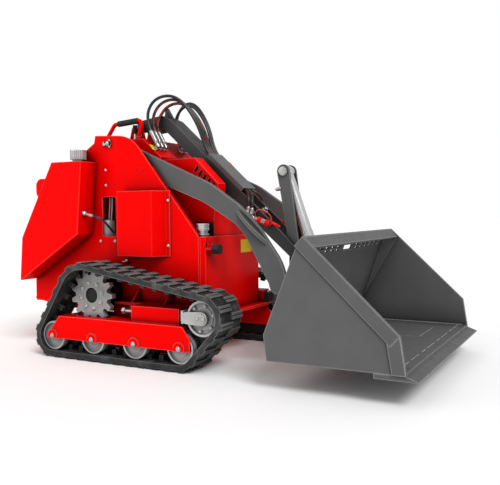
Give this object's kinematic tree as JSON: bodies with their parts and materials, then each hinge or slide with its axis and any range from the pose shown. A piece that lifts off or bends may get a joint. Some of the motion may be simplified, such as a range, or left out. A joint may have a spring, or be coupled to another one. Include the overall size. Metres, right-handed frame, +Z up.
{
  "type": "compact crawler skid steer loader",
  "caption": "Stand-behind compact loader on rubber tracks, with lift arms, a levelling link, a tilt lever and a wide tipping bucket.",
  "frame": {"origin": "on the ground, under the middle of the whole machine's box", "axes": "+X forward to the bucket, +Y to the machine's left, +Z up"},
  "size_m": [2.27, 1.23, 1.3762],
  "materials": {
    "red_paint": "gloss",
    "grey_paint": "satin",
    "dark_grey_paint": "satin",
    "track_rubber": "matte",
    "black_rubber": "matte",
    "hose_rubber": "satin",
    "cast_steel": "satin",
    "zinc_steel": "satin",
    "black_metal": "satin",
    "chrome": "polished"
  },
  "bodies": {
    "chassis": {"track_right": "track_rubber", "track_left": "track_rubber", "track_rollers_right": "cast_steel", "track_rollers_left": "cast_steel", "idler_right": "cast_steel", "idler_left": "cast_steel", "sprocket_right": "cast_steel", "sprocket_left": "cast_steel", "idler_fork_right": "zinc_steel", "idler_fork_left": "zinc_steel", "drive_motor_right": "black_metal", "drive_motor_left": "black_metal", "track_frame_right": "red_paint", "track_frame_left": "red_paint", "side_plate_right": "red_paint", "side_plate_left": "red_paint", "tank_right": "red_paint", "tank_left": "red_paint", "cover_box_right": "red_paint", "cover_box_left": "red_paint", "hull": "red_paint", "front_panel": "red_paint", "deck": "red_paint", "rear_panel": "red_paint", "console": "red_paint", "hood": "red_paint", "rear_pad": "red_paint", "grab_handle": "red_paint", "engine": "black_metal", "tank_cap_right": "chrome", "tank_cap_left": "chrome", "front_filler": "chrome", "buffers": "black_rubber", "control_levers": "black_rubber", "handle_grip": "black_rubber", "fittings": "zinc_steel", "hose_1": "hose_rubber", "hose_2": "hose_rubber", "hose_3": "hose_rubber", "hose_4": "hose_rubber", "hose_5": "hose_rubber"},
    "lift_arms": {"arm_right": "grey_paint", "arm_left": "grey_paint", "cross_tube": "grey_paint"},
    "levelling_link": {"levelling_link": "dark_grey_paint", "hose_cover": "dark_grey_paint", "couplers": "zinc_steel"},
    "tilt_lever": {"tilt_lever": "grey_paint"},
    "bucket": {"bucket_shell": "grey_paint", "cutting_edge": "grey_paint", "bucket_band_right": "grey_paint", "bucket_band_left": "grey_paint", "hitch": "grey_paint"},
    "tilt_barrel": {"tilt_barrel": "grey_paint"},
    "tilt_rod": {"tilt_rod": "chrome"},
    "lift_barrel_right": {"lift_barrel_right": "black_metal"},
    "lift_barrel_left": {"lift_barrel_left": "black_metal"},
    "lift_rod_right": {"lift_rod_right": "chrome"},
    "lift_rod_left": {"lift_rod_left": "chrome"}
  },
  "joints": [
    {"name": "lift", "type": "hinge", "parent": "chassis", "child": "lift_arms", "pos_m": [-0.582, 0, 1.112], "axis": [0, -1, 0], "range_deg": [-5, 75]},
    {"name": "link", "type": "hinge", "parent": "chassis", "child": "levelling_link", "pos_m": [-0.562, 0, 1.217], "axis": [0, -1, 0], "range_deg": [-5.2, 75.2], "deforming": ["hose_1", "hose_2", "hose_3", "hose_4", "hose_5"]},
    {"name": "lever", "type": "hinge", "parent": "lift_arms", "child": "tilt_lever", "pos_m": [0.392, 0, 0.405], "axis": [0, -1, 0], "range_deg": [-75.2, 5.2]},
    {"name": "tilt", "type": "hinge", "parent": "tilt_lever", "child": "bucket", "pos_m": [0.392, 0, 0.405], "axis": [0, 1, 0], "range_deg": [-30, 45]},
    {"name": "tilt_barrel_swing", "type": "hinge", "parent": "tilt_lever", "child": "tilt_barrel", "pos_m": [0.314, 0, 0.946], "axis": [0, 1, 0], "range_deg": [-3.08, 4.52]},
    {"name": "tilt_rod_slide", "type": "slide", "parent": "tilt_barrel", "child": "tilt_rod", "axis": [0.3348, 0, -0.9423], "range_m": [-0.0523, 0.0774]},
    {"name": "lift_barrel_swing_right", "type": "hinge", "parent": "chassis", "child": "lift_barrel_right", "pos_m": [-0.385, -0.215, 0.48], "axis": [0, -1, 0], "range_deg": [-0.78, 8.9]},
    {"name": "lift_rod_slide_right", "type": "slide", "parent": "lift_barrel_right", "child": "lift_rod_right", "axis": [0.1624, 0, 0.9867], "range_m": [-0.0263, 0.3672]},
    {"name": "lift_barrel_swing_left", "type": "hinge", "parent": "chassis", "child": "lift_barrel_left", "pos_m": [-0.385, 0.215, 0.48], "axis": [0, -1, 0], "range_deg": [-0.78, 8.9]},
    {"name": "lift_rod_slide_left", "type": "slide", "parent": "lift_barrel_left", "child": "lift_rod_left", "axis": [0.1624, 0, 0.9867], "range_m": [-0.0263, 0.3672]}
  ],
  "couplings": [
    {"joint": "link", "follows": "lift", "ratio": 1},
    {"joint": "lever", "follows": "lift", "ratio": -1},
    {"joint": "tilt_barrel_swing", "follows": "tilt", "ratio": 0.096},
    {"joint": "tilt_rod_slide", "follows": "tilt", "m_per_rad": 0.096},
    {"joint": "lift_barrel_swing_right", "follows": "lift", "ratio": 0.116},
    {"joint": "lift_rod_slide_right", "follows": "lift", "m_per_rad": 0.279},
    {"joint": "lift_barrel_swing_left", "follows": "lift", "ratio": 0.116},
    {"joint": "lift_rod_slide_left", "follows": "lift", "m_per_rad": 0.279}
  ]
}
